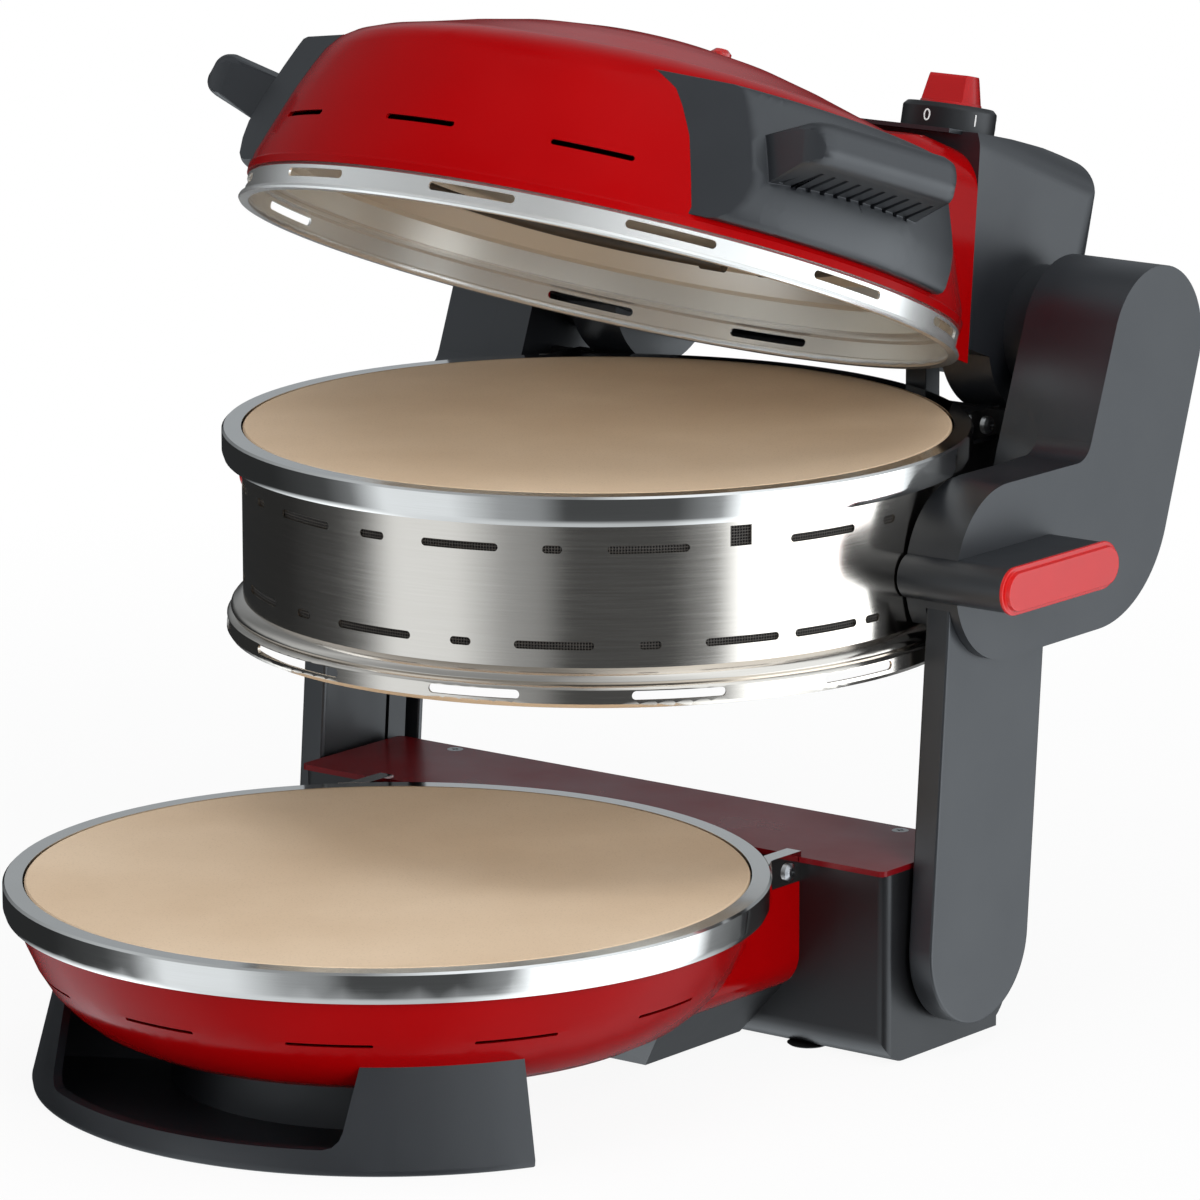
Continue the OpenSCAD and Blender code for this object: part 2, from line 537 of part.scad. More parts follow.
// cross-section of the hood behind the dome, (x, z)
module hood2d(g = 0) {
    translate([-hood_x + g, 3.3]) square([2*hood_x - 2*g, 76.7]);
    translate([-hood_x + 19, 3.3]) square([2*hood_x - 38, 95.7 - g]);
    polygon([[-106, 90], [106, 90], [106, 98.9 - g], [84, 103.4 - g], [-84, 103.4 - g], [-106, 98.9 - g]]);
    for (s = [-1, 1]) translate([s*(hood_x - 19), 80]) circle(19 - g, $fn = 64);
}
// the ground below the hood's sloping top, (y, z)
module below_hood_top2d(d = 0) polygon([[-200, -30], [150, -30], [150, 113.6 - d], [20, 87.8 - d], [-200, 87.8 - d]]);
// seam between the red hood and the black housing leans forward, (y, z)
module ahead_of_seam2d(d = 0) polygon([[-200, -20], [134.4 + d, -20], [94 + d, 120], [-200, 120]]);
module lid_shell() at_lid() color("#c4120e") difference() {
    union() {
        dome_sheet(1.8);
        // straight hood behind the dome
        difference() {
            union() {
                intersection() {
                    translate([0, 30, 0]) rotate([-90, 0, 0]) mirror([0, 1, 0]) linear_extrude(120) difference() {
                        hood2d();
                        translate([0, -1]) hood2d(1.8);
                    }
                    slab(-hood_x - 1, hood_x + 1) intersection() { ahead_of_seam2d(); below_hood_top2d(0.9); }
                }
                // its top slopes forward and dies into the dome
                intersection() {
                    translate([0, 30, 0]) rotate([-90, 0, 0]) mirror([0, 1, 0]) linear_extrude(120) hood2d();
                    slab(-hood_x - 1, hood_x + 1) intersection() {
                        ahead_of_seam2d();
                        difference() { below_hood_top2d(); translate([0, -2]) below_hood_top2d(); }
                    }
                }
            }
            rotate_extrude($fn = 144) polygon(concat([[0, 0], [dome_r - 0.9, 0]], [for (p = dome) [max(0, p[0] - 0.9), p[1]]]));
        }
    }
    for (az = [-148 : 30 : 152]) if (abs(az) < 105) wall_slot(az + 0.2, 38, 2.6, 37.5, 161);
    translate([26, 20, 100]) cylinder(30, 3.4, 3.4, $fn = 32);
}
module lid_skirt() at_lid() color("#bcb8b1") difference() {
    rotate_extrude($fn = 144) polygon([[skirt_r - 2 - sheet, 1.4], [skirt_r - 2.6, pass_gap], [rim_r - 4.6, pass_gap], [rim_r - 3.9, 1.2],
        [rim_r - 4.4, 2.4], [skirt_r, 3], [skirt_r, 11.6], [skirt_r - 1.3, 12.9], [skirt_r - 1.3, 16.2], [skirt_r - 2 - sheet, 16.2], [skirt_r - 2 - sheet, 12.6], [skirt_r - sheet, 11.4], [skirt_r - sheet, 4], [skirt_r - 2 - sheet, 3.2]]);
    for (i = [0, 1, 3, 4, 5, 6, 7, 8, 9]) wall_slot(-173.7 + 31.5*i, 42, 4, 8, skirt_r);
}
module lid_reflector() at_lid() color("#b9ad9c") rotate_extrude($fn = 144)
    polygon([[skirt_r - 2 - sheet, 16.2], [skirt_r - 2 - sheet, 14.8], [159, 14.8], [158, 24.5], [150, 25.5], [147, 34], [136, 36.2], [0, 42],
             [0, 43.2], [136.4, 37.4], [148, 35], [151, 26.6], [159.2, 25.6], [160.3, 16.2]]);
module lid_heater() at_lid() color("#5a5552") heater(108, 32.4, 3.3);
// side profile of the black housing, (y, z); low = with the hinge lugs
module house2d(g = 0, low = false) {
    difference() {
        union() {
            polygon([[90, 60], [198, 60], [199, 117 - g], [165, 115.2 - g], [130, 111.4 - g], [98, 106.9 - g], [90, 98]]);
            translate([198, 97]) circle(20 - g);
            polygon([[100, 10 + g], [hinge_back + 25, 10 + g], [hinge_back + hub_r - g, hinge_up], [218 - g, 97], [100, 97]]);
            translate([hinge_back, hinge_up]) circle(hub_r - g);
        }
        ahead_of_seam2d(g > 0 ? g : 0);
        // between the lugs a flat edge, with room to pass the middle box
        if (!low) translate([0, -60]) square([400, 70 + g]);
    }
}
// the housing seen from above, with round rear corners
module house_plan2d(g = 0) round_rect(-hood_x + g, 60, hood_x - g, hinge_back + hub_r + 0.5 - g, 26 - g);
module lid_housing() at_lid() color("#303135") difference() {
    union() {
        intersection() {
            union() {
                slab(-96.5, 96.5) house2d();
                both() slab(96.5, hood_x) house2d(0, true);
            }
            translate([0, 80, 0]) rotate([-90, 0, 0]) mirror([0, 1, 0]) linear_extrude(160) house_front2d();
            translate([0, 0, -30]) linear_extrude(160) house_plan2d();
            both_limits() rotate([0, 0, -52.2]) slab(-400, 400) corner2d();
        }
        // side bosses round the hinge pins
        both() rod([hinge_back, hinge_up], 30, 110, 142.7, 96);
        // panel lip over the dome
        translate([knob_x - 30, 88, 103.7]) rotate([panel_a, 0, 0]) cube([60, 30, 2]);
    }
    intersection() {
        slab(-93, 93) { house2d(3); translate([136, -20]) square([64, 45]); }
        translate([0, 80, 0]) rotate([-90, 0, 0]) mirror([0, 1, 0]) linear_extrude(160) house_front2d(3);
        translate([0, 0, -30]) linear_extrude(160) house_plan2d(3);
    }
    both() rod([hinge_back, hinge_up], hinge_pin_r + run_fit, 90, 150);
    translate([0, 0, -20]) cylinder(33.2, rim_r - 3.4, rim_r - 3.4, $fn = 144);
    dome_solid(0);
    both() for (i = [0 : 6]) translate([88 - 7*i, 188, 110]) cube([3, 24, 30], center = true);
    on_panel() translate([0, 0, -14]) cylinder(20, 7, 7);
}
// eased rear corner, seen along the diagonal: (distance, z)
module corner2d() {
    translate([205.3, 100]) circle(17);
    polygon([[-300, -20], [224.7, -20], [224.4, 60], [224.1, 74], [222.3, 100], [205.3, 117], [-300, 117]]);
}
module both_limits() intersection() { children(); mirror([1, 0, 0]) children(); }
// front view of the housing, (x, z), with rounded shoulders
module house_front2d(g = 0) {
    translate([-hood_x + g, -20]) square([2*hood_x - 2*g, 119]);
    translate([-hood_x + 18, -20]) square([2*hood_x - 36, 137 - g]);
    for (s = [-1, 1]) translate([s*(hood_x - 18), 99]) circle(18 - g, $fn = 64);
}
// the sloping control panel: origin on its surface under the knob
module on_panel() translate([knob_x, knob_y, 111.5]) rotate([panel_a, 0, 0]) children();
// side handle: a block that follows the dome and a straight bar on it
module handle() at_lid() difference() {
    union() {
        intersection() {
            rotate_extrude($fn = 144) polygon([[120, 18.5], [171.6, 18.5], [173.8, 19.6], [175, 22], [175.6, 30], [174.8, 38.4],
                [171.8, 47.4], [168, 57.2], [164, 67], [159.8, 76.3], [157.8, 80.3], [155.6, 81.5], [120, 81.5]]);
            difference() {
                translate([60, -128, 0]) cube([160, 157, 120]);
                translate([114.6, -101.7, 72.8]) rotate([-14.1, 0, 24.6]) translate([-90, -60, -90]) cube([180, 60, 240]);
            }
        }
        intersection() {
            on_bar() rotate([-90, 0, 0]) mirror([0, 1, 0]) linear_extrude(grip_l) grip_section2d();
            on_bar() linear_extrude(90) round_rect(120, 0, 197.9, grip_l, 7);
        }
    }
    dome_solid(0);
    // anti-slip grooves under the bar
    on_bar() for (i = [0 : 10])
        translate([178, 5 + i*7.4, 44.4]) rotate([0, -19.4, 0]) cube([19, 2.2, 2.4], center = true);
}
// the bar's frame: X outwards, Y along the bar, which rises a little to the rear
module on_bar() rotate([0, 0, handle_az - 90]) translate([0, -51, 55]) rotate([2, 0, 0]) translate([0, 0, -55]) children();
module grip_section2d() {
    polygon([[146, 57.8], [185.4, 70.2], [195.4, 65.6], [197.2, 60], [192.7, 49.8], [146, 33]]);
    translate([187.9, 62.4]) circle(8.2, $fn = 64);
    translate([190.2, 57]) circle(7.6, $fn = 64);
}
module handle_left() color("#2f3034") left() handle();
module handle_right() color("#3a3c41") handle();
module lamp_lens() at_lid() color("#d0201c") {
    translate([26, 20, 108.8]) cylinder(6.4, 3.3, 3.3, $fn = 32);
    translate([26, 20, 114]) cylinder(2.4, 5, 5, $fn = 48);
    translate([26, 20, 116.39]) cylinder(1.8, 5, 3, $fn = 48);
}
module knob_bezel() at_lid() on_panel() color("#222326") difference() {
    union() {
        cylinder(bezel_h - 2, bezel_r, bezel_r, $fn = 96);
        translate([0, 0, bezel_h - 2]) cylinder(2, bezel_r, bezel_r - 2, $fn = 96);
        translate([0, 0, -11]) cylinder(11.1, 6.9, 6.9);
    }
    translate([0, 0, -20]) cylinder(50, 3.2 + run_fit, 3.2 + run_fit);
    translate([0, 0, bezel_h - 1]) cylinder(2, 15.3, 15.3, $fn = 64);
}
module knob() at_lid() on_panel() color("#c8161a") difference() {
    translate([0, 0, bezel_h - 0.7]) {
        cylinder(2, 15, 14.4, $fn = 64);
        intersection() {
            translate([0, 0, 1.9]) cylinder(knob_h, 14.2, 11.4, $fn = 64);
            rotate([90, 0, 90]) linear_extrude(40, center = true)
                polygon([[-8.4, 0], [8.4, 0], [5.6, knob_h - 1.4], [4.6, knob_h], [-4.6, knob_h], [-5.6, knob_h - 1.4]]);
        }
    }
    translate([0, 0, bezel_h - 2]) cylinder(9, 3.2, 3.2);
}
module knob_shaft() at_lid() on_panel() color("#a0a0a2") translate([0, 0, -16]) cylinder(bezel_h + 22, 3.2, 3.2);

base_housing();
base_pan();
front_foot();
rubber_feet();
top_plate();
top_plate_screws();
lower_shell();
lower_rim();
lower_rim_screws();
lower_stone();
lower_heater();
lower_reflector();
shaft_bushes();
link_low_pins();
cord_gland();
arm_cover_left();
arm_cover_right();
arm_link_left();
arm_link_right();
arm_shaft();
level_link_left();
level_link_right();
mid_rim();
mid_rim_screws();
mid_wall();
mid_mesh();
mid_flange();
mid_stone();
mid_heater();
mid_tray();
mid_low_heater();
mid_reflector();
mid_housing();
wire_post();
elbow_outer_left();
elbow_outer_right();
elbow_inner_left();
elbow_inner_right();
grip_left();
grip_right();
grip_cap_left();
grip_cap_right();
arm_pins();
link_top_pins();
hinge_pins();
lid_shell();
lid_skirt();
lid_reflector();
lid_heater();
lid_housing();
handle_left();
handle_right();
lamp_lens();
knob_bezel();
knob();
knob_shaft();
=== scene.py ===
import json
import math

import bmesh
import bpy
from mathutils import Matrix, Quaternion, Vector


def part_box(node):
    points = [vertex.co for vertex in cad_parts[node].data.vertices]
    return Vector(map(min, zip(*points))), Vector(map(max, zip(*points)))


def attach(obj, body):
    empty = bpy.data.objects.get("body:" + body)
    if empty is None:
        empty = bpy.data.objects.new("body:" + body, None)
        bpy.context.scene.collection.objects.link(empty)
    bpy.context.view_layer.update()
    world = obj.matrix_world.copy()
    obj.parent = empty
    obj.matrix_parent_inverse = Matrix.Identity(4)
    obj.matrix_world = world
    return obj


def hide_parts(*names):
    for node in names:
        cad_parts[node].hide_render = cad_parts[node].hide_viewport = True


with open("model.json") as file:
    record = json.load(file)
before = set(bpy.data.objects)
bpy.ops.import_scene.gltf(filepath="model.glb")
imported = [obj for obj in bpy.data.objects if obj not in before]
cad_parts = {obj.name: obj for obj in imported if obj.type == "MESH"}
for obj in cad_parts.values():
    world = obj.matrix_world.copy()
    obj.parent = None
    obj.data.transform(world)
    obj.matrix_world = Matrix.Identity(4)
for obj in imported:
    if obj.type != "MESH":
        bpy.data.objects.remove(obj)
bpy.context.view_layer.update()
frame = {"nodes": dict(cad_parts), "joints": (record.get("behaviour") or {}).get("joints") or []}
nodes = frame["nodes"]

# ---------------------------------------------------------------- camera
# A long lens, a little above the upper stone, on the right of the front.
# It is turned by a tenth of a degree, which keeps the table level in view.
eye = Vector((2.1358, -2.70374, 0.961))
aim = Vector((0.07639, -0.05104, 0.2223))
roll = Quaternion((0, 0, 1), math.radians(-0.11))
lens = bpy.data.cameras.new("camera")
lens.lens = 228.86
lens.sensor_width = 36
camera = bpy.data.objects.new("camera", lens)
camera.location = eye
camera.rotation_mode = "QUATERNION"
camera.rotation_quaternion = (aim - eye).to_track_quat("-Z", "Y") @ roll
bpy.context.scene.collection.objects.link(camera)
bpy.context.scene.camera = camera
bpy.context.scene.view_settings.view_transform = "Standard"

# ---------------------------------------------------------------- studio
# Five soft boxes stand round a white table: overhead, right, front, left and
# back. The tall one on the right is the strongest. None shows in the metal.
# Each has its name, its place, what it is aimed at, its width, height and watts.
soft_boxes = [
    ("top box", (0.25, -0.1, 1.9), (0.0, 0.0, 0.25), 1.9, 1.3, 15),
    ("right box", (1.95, -1.0, 0.95), (0.0, 0.0, 0.3), 0.9, 1.4, 36),
    ("front box", (0.7, -2.7, 1.25), (0.0, 0.0, 0.25), 1.6, 1.0, 8),
    ("left box", (-2.3, -1.0, 0.9), (0.0, 0.0, 0.25), 0.8, 1.5, 6),
    ("back box", (-1.0, 2.4, 1.0), (0.0, 0.1, 0.2), 1.2, 0.8, 9),
]
for name, place, target, wide, high, watts in soft_boxes:
    light = bpy.data.lights.new(name, "AREA")
    light.shape = "RECTANGLE"
    light.size = wide
    light.size_y = high
    light.energy = watts
    lamp = bpy.data.objects.new(name, light)
    lamp.location = place
    lamp.rotation_euler = (Vector(target) - Vector(place)).to_track_quat("-Z", "Y").to_euler()
    lamp.visible_glossy = False
    lamp.visible_camera = False
    bpy.context.scene.collection.objects.link(lamp)


def add_node(tree, kind, inputs=None, **settings):
    """A shader node with its settings. Each input is a fixed value or another node's output."""
    node = tree.nodes.new(kind)
    for setting, value in settings.items():
        setattr(node, setting, value)
    for label, value in (inputs or {}).items():
        if isinstance(value, bpy.types.NodeSocket):
            tree.links.new(value, node.inputs[label])
        else:
            node.inputs[label].default_value = value
    return node


def maths(tree, operation, *values):
    """One step of arithmetic on fixed values and nodes' outputs."""
    return add_node(tree, "ShaderNodeMath", dict(enumerate(values)), operation=operation).outputs[0]


def seen_directly(tree):
    """1 for a ray that comes from the camera or by way of a mirror or glass."""
    path = add_node(tree, "ShaderNodeLightPath")
    straight = maths(tree, "MAXIMUM", path.outputs["Is Camera Ray"], path.outputs["Is Glossy Ray"])
    return maths(tree, "MAXIMUM", straight, path.outputs["Is Transmission Ray"])


fill_level = 0.3
mirror_level = 2.2
panel_tint = (0.87, 0.94, 1.0)
world = bpy.data.worlds.new("studio")
bpy.context.scene.world = world
world.use_nodes = True
sky = world.node_tree
sky.nodes.clear()
around = add_node(sky, "ShaderNodeBackground", {"Color": (0.94, 0.96, 1.0, 1), "Strength": fill_level})

# bright metal and enamel see pale panels with dark gaps between them, in three
# rows: one below the object, one level with it and one above it
way = add_node(sky, "ShaderNodeTexCoord")
axes = add_node(sky, "ShaderNodeSeparateXYZ", {0: way.outputs["Generated"]})
bearing = maths(sky, "ARCTAN2", axes.outputs["X"], maths(sky, "MULTIPLY", axes.outputs["Y"], -1))
round_turn = add_node(sky, "ShaderNodeMapRange",
                      {"Value": bearing, "From Min": -math.pi, "From Max": math.pi})


def panels(stops):
    """Grey levels round the horizon, as (degrees from the front, level)."""
    ramp = add_node(sky, "ShaderNodeValToRGB", {"Fac": round_turn.outputs["Result"]})
    marks = ramp.color_ramp.elements
    while len(marks) < len(stops):
        marks.new(0.5)
    for mark, (turn, level) in zip(marks, stops):
        mark.position = turn / 360 + 0.5
    for mark, (turn, level) in zip(marks, stops):
        mark.color = (*(level * part for part in panel_tint), 1)
    return ramp.outputs["Color"]


def blend_rows(low, high, start, end):
    """From one row of panels to the one above it, by the height looked at."""
    rise = add_node(sky, "ShaderNodeMapRange",
                    {"Value": axes.outputs["Z"], "From Min": start, "From Max": end})
    rows = add_node(sky, "ShaderNodeMix",
                    {"Factor": rise.outputs["Result"], "A": low, "B": high}, data_type="RGBA")
    return rows.outputs["Result"]


floor_row = panels([(-180, 0.12), (-130, 0.2), (-105, 0.85), (-55, 0.75), (-30, 0.4),
                    (20, 0.28), (60, 0.26), (90, 0.7), (150, 0.7), (180, 0.12)])
level_row = panels([(-180, 0.01), (-80, 0.012), (-54, 0.03), (-43, 0.09), (-31, 0.42),
                    (-8, 0.40), (8, 0.17), (20, 0.13), (28, 0.03), (62, 0.035),
                    (76, 0.15), (88, 1.0), (140, 1.0), (152, 0.12), (180, 0.01)])
upper_row = panels([(-180, 0.12), (-142, 0.19), (-115, 0.08), (-70, 0.26), (-30, 0.16),
                    (20, 0.12), (50, 0.3), (80, 0.5), (140, 0.5), (180, 0.10)])
lower_rows = blend_rows(floor_row, level_row, -0.6, -0.35)
all_rows = blend_rows(lower_rows, upper_row, -0.02, 0.16)
room = add_node(sky, "ShaderNodeBackground", {"Color": all_rows, "Strength": mirror_level})
backdrop = add_node(sky, "ShaderNodeBackground", {"Color": (1, 1, 1, 1)})
choose = add_node(sky, "ShaderNodeMixShader",
                  {"Fac": seen_directly(sky), 1: around.outputs[0], 2: backdrop.outputs[0]})
rays = add_node(sky, "ShaderNodeLightPath")
mirrored = add_node(sky, "ShaderNodeMixShader",
                    {"Fac": rays.outputs["Is Glossy Ray"], 1: choose.outputs[0], 2: room.outputs[0]})
add_node(sky, "ShaderNodeOutputWorld", {0: mirrored.outputs[0]})

# ---------------------------------------------------------------- table top
# A white table, large enough that its edge is never seen. It shows the shadow
# near the object, and fades to plain white further away.
table_size = 9
shadow_reach = 0.5
plain_from = 1.2
white_near = 0.92
sweep = bmesh.new()
bmesh.ops.create_grid(sweep, x_segments=4, y_segments=4, size=table_size)
table_mesh = bpy.data.meshes.new("table_top")
sweep.to_mesh(table_mesh)
sweep.free()
table_top = bpy.data.objects.new("table_top", table_mesh)
bpy.context.scene.collection.objects.link(table_top)
white = bpy.data.materials.new("white_table")
white.use_nodes = True
paint = white.node_tree
paint.nodes.clear()
matt = add_node(paint, "ShaderNodeBsdfDiffuse", {"Color": (0.84, 0.84, 0.84, 1)})
glow = add_node(paint, "ShaderNodeEmission", {"Strength": 1.0})
spot = add_node(paint, "ShaderNodeTexCoord")
away = add_node(paint, "ShaderNodeVectorMath", {0: spot.outputs["Object"]}, operation="LENGTH")
fade = add_node(paint, "ShaderNodeMapRange",
                {"Value": away.outputs["Value"], "From Min": shadow_reach, "From Max": plain_from,
                 "To Min": white_near, "To Max": 1.0})
share = maths(paint, "MULTIPLY", seen_directly(paint), fade.outputs["Result"])
blend = add_node(paint, "ShaderNodeMixShader", {"Fac": share, 1: matt.outputs[0], 2: glow.outputs[0]})
add_node(paint, "ShaderNodeOutputMaterial", {0: blend.outputs[0]})
table_mesh.materials.append(white)
table_top.visible_glossy = False


# ---------------------------------------------------------------- base box and pan
# The rear box that holds the arms' shaft, and the pan under the bowl in front
# of it. Both are moulded in black plastic and screwed together from below.
def node_group(name, ins, outs):
    """An empty shader group with its named sockets."""
    group = bpy.data.node_groups.new(name, "ShaderNodeTree")
    for label, kind, value in ins:
        socket = group.interface.new_socket(name=label, in_out="INPUT", socket_type=kind)
        if value is not None:
            socket.default_value = value
    for label, kind in outs:
        group.interface.new_socket(name=label, in_out="OUTPUT", socket_type=kind)
    return group, group.nodes.new("NodeGroupInput"), group.nodes.new("NodeGroupOutput")


# moulded grain: a slow drift of tone and gloss over a fine pebble
grain, grain_in, grain_out = node_group(
    "moulded_grain",
    [("Place", "NodeSocketVector", None), ("Dark", "NodeSocketColor", (0, 0, 0, 1)),
     ("Light", "NodeSocketColor", (1, 1, 1, 1)), ("Pebble", "NodeSocketFloat", 1500.0),
     ("Smooth", "NodeSocketFloat", 0.35), ("Rough", "NodeSocketFloat", 0.5)],
    [("Colour", "NodeSocketColor"), ("Roughness", "NodeSocketFloat"), ("Height", "NodeSocketFloat")])
drift = add_node(grain, "ShaderNodeTexNoise",
                 {"Vector": grain_in.outputs["Place"], "Scale": 22, "Detail": 4})
pebbles = add_node(grain, "ShaderNodeTexNoise",
                   {"Vector": grain_in.outputs["Place"], "Scale": grain_in.outputs["Pebble"], "Detail": 2})
tone = add_node(grain, "ShaderNodeMix",
                {"Factor": drift.outputs["Fac"], "A": grain_in.outputs["Dark"],
                 "B": grain_in.outputs["Light"]}, data_type="RGBA")
spread = add_node(grain, "ShaderNodeMapRange",
                  {"Value": drift.outputs["Fac"], "From Min": 0.3, "From Max": 0.7,
                   "To Min": grain_in.outputs["Smooth"], "To Max": grain_in.outputs["Rough"]})
grain.links.new(tone.outputs["Result"], grain_out.inputs["Colour"])
grain.links.new(spread.outputs["Result"], grain_out.inputs["Roughness"])
grain.links.new(pebbles.outputs["Fac"], grain_out.inputs["Height"])


def patterned(name, pattern, values, bump, depth):
    """A material whose tone, gloss and relief come from one pattern, and its shader."""
    mat = bpy.data.materials.new(name)
    mat.use_nodes = True
    tree = mat.node_tree
    shader = tree.nodes["Principled BSDF"]
    place = add_node(tree, "ShaderNodeTexCoord")
    look = add_node(tree, "ShaderNodeGroup", {"Place": place.outputs["Object"], **values},
                    node_tree=pattern)
    raised = add_node(tree, "ShaderNodeBump",
                      {"Strength": bump, "Distance": depth, "Height": look.outputs["Height"]})
    tree.links.new(look.outputs["Colour"], shader.inputs["Base Color"])
    tree.links.new(look.outputs["Roughness"], shader.inputs["Roughness"])
    tree.links.new(raised.outputs["Normal"], shader.inputs["Normal"])
    return mat, shader


def moulded(name, dark, light, smooth, rough, pebble=1500, bump=0.12, coat=0.0, metal=0.0, shine=0.5):
    """A finish with a mottled tone and a fine pebble: plastic, rubber, enamel or cast metal."""
    mat, shader = patterned(name, grain,
                            {"Dark": (*dark, 1), "Light": (*light, 1), "Pebble": pebble,
                             "Smooth": smooth, "Rough": rough}, bump, depth=0.0002)
    shader.inputs["Metallic"].default_value = metal
    shader.inputs["Specular IOR Level"].default_value = shine
    shader.inputs["Coat Weight"].default_value = coat
    shader.inputs["Coat Roughness"].default_value = 0.05
    return mat


def dress(name, mat):
    """Gives a node of the frame its finish."""
    mesh = nodes[name].data
    if not mesh.materials:
        mesh.materials.append(mat)
    for slot in nodes[name].material_slots:
        slot.link = "OBJECT"
        slot.material = mat


def corner_normals(mesh, smooth, axis):
    """Shading that keeps flat sides flat, and round sides truly round about their axis."""
    limit = math.cos(math.radians(smooth))
    sliver_area = 2e-6
    round_skew = 0.03
    sliver_skew = 0.5
    centre, along = axis or (Vector(), Vector((0, 0, 1)))
    faces_at = [[] for _ in mesh.vertices]
    kinds = []
    for face in mesh.polygons:
        normal = face.normal
        arm = face.center - centre
        arm = (arm - arm.dot(along) * along).normalized()
        skew = abs(normal.dot(along.cross(arm)))
        turned = bool(axis) and (skew < round_skew or (skew < sliver_skew and face.area < sliver_area))
        kinds.append((normal, turned, normal.dot(arm), normal.dot(along), face.area))
        for corner in face.vertices:
            faces_at[corner].append(face.index)
    found = []
    for face in mesh.polygons:
        normal, turned, outward, upward, _ = kinds[face.index]
        for corner in face.vertices:
            place = mesh.vertices[corner].co - centre
            arm = (place - place.dot(along) * along).normalized()
            total = Vector()
            for other in faces_at[corner]:
                side, also_turned, side_out, side_up, size = kinds[other]
                if turned and also_turned:
                    if outward * side_out + upward * side_up > limit:
                        total += size * (side_out * arm + side_up * along)
                elif not turned and normal.dot(side) > limit:
                    total += size * side
            found.append(total.normalized() if total.length > 0 else normal)
    mesh.normals_split_custom_set(found)


def eased(name, body, mat, radius=0.0, steps=2, corner=38, smooth=34, axis=None, clamp=True,
          reshape=None):
    """A node's own shape again, in one skin, with its hard corners rounded off."""
    merge = 2e-6
    flat_within = math.radians(0.5)
    shape = bmesh.new()
    shape.from_mesh(nodes[name].data)
    bmesh.ops.remove_doubles(shape, verts=shape.verts, dist=merge)
    bmesh.ops.dissolve_degenerate(shape, edges=shape.edges, dist=merge)
    if radius:
        bmesh.ops.dissolve_limit(shape, angle_limit=flat_within, verts=shape.verts, edges=shape.edges)
        if reshape:
            reshape(shape)
        hard = [e for e in shape.edges if len(e.link_faces) == 2
                and e.calc_face_angle(0) > math.radians(corner)]
        bmesh.ops.bevel(shape, geom=hard, offset=radius, offset_type="OFFSET", segments=steps,
                        profile=0.5, affect="EDGES", clamp_overlap=clamp, material=-1)
        bmesh.ops.remove_doubles(shape, verts=shape.verts, dist=merge)
    mesh = bpy.data.meshes.new(name + "_skin")
    shape.to_mesh(mesh)
    shape.free()
    mesh.shade_smooth()
    corner_normals(mesh, smooth, axis)
    mesh.materials.append(mat)
    piece = bpy.data.objects.new(name + "_skin", mesh)
    bpy.context.scene.collection.objects.link(piece)
    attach(piece, body)
    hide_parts(name)


black_plastic = moulded("black_plastic", (0.005, 0.005, 0.0055), (0.008, 0.008, 0.009),
                        smooth=0.34, rough=0.46, shine=0.6)
eased("base_housing", "base", black_plastic, radius=0.0012)
eased("base_pan", "base", black_plastic)
eased("cord_gland", "base", black_plastic)

# ---------------------------------------------------------------- feet
# The front foot is a hollow curved tray in charcoal plastic under the bowl,
# and four soft rubber feet are pressed into the box's floor behind it.
charcoal = moulded("charcoal_plastic", (0.0075, 0.0085, 0.0105), (0.0115, 0.013, 0.016),
                   smooth=0.36, rough=0.46, bump=0.10, shine=1.0)
eased("front_foot", "base", charcoal, radius=0.0009)
rubber = moulded("rubber", (0.008, 0.008, 0.008), (0.02, 0.02, 0.02),
                 smooth=0.7, rough=0.85, pebble=900, bump=0.3)
eased("rubber_feet", "base", rubber, radius=0.0006)

# ---------------------------------------------------------------- top plate
# A pressed steel cover on the box, stoved in dark red enamel. Two countersunk
# cross-head screws hold its rear edge.
dark_enamel = moulded("dark_red_enamel", (0.13, 0.002, 0.004), (0.17, 0.003, 0.006),
                      smooth=0.26, rough=0.36, pebble=500, bump=0.02, coat=0.05, shine=0.25)
eased("top_plate", "base", dark_enamel)
screw_steel = moulded("screw_steel", (0.42, 0.42, 0.43), (0.6, 0.6, 0.6),
                      smooth=0.28, rough=0.42, pebble=2500, bump=0.1, metal=1.0)
eased("top_plate_screws", "base", screw_steel)

# ---------------------------------------------------------------- bowl
# The lower deck's shell: deep-drawn steel with vent slits, in gloss red
# enamel fired over a pale ground, which pools slightly in tone.
red_enamel = moulded("red_enamel", (0.29, 0.0004, 0.0012), (0.34, 0.0008, 0.0016),
                     smooth=0.13, rough=0.19, pebble=420, bump=0.012, shine=0.06)
rim_low, rim_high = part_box("lower_stone")
lower_axis = ((rim_low + rim_high) / 2, Vector((0, 0, 1)))
eased("lower_shell", "base", red_enamel, axis=lower_axis)

# ---------------------------------------------------------------- bright rims
# Each stone lies in a polished stainless rim. Its straight ears run back to
# the box and are held there by a pair of pan-head screws.

# brush marks: fine streaks drawn out along one direction of the piece
brush, brush_in, brush_out = node_group(
    "brush_marks",
    [("Place", "NodeSocketVector", None), ("Stretch", "NodeSocketVector", (40.0, 40.0, 2600.0)),
     ("Dark", "NodeSocketColor", (0, 0, 0, 1)), ("Light", "NodeSocketColor", (1, 1, 1, 1)),
     ("Smooth", "NodeSocketFloat", 0.15), ("Rough", "NodeSocketFloat", 0.3)],
    [("Colour", "NodeSocketColor"), ("Roughness", "NodeSocketFloat"), ("Height", "NodeSocketFloat")])
drawn = add_node(brush, "ShaderNodeVectorMath",
                 {0: brush_in.outputs["Place"], 1: brush_in.outputs["Stretch"]}, operation="MULTIPLY")
streak = add_node(brush, "ShaderNodeTexNoise",
                  {"Vector": drawn.outputs["Vector"], "Scale": 1.0, "Detail": 5})
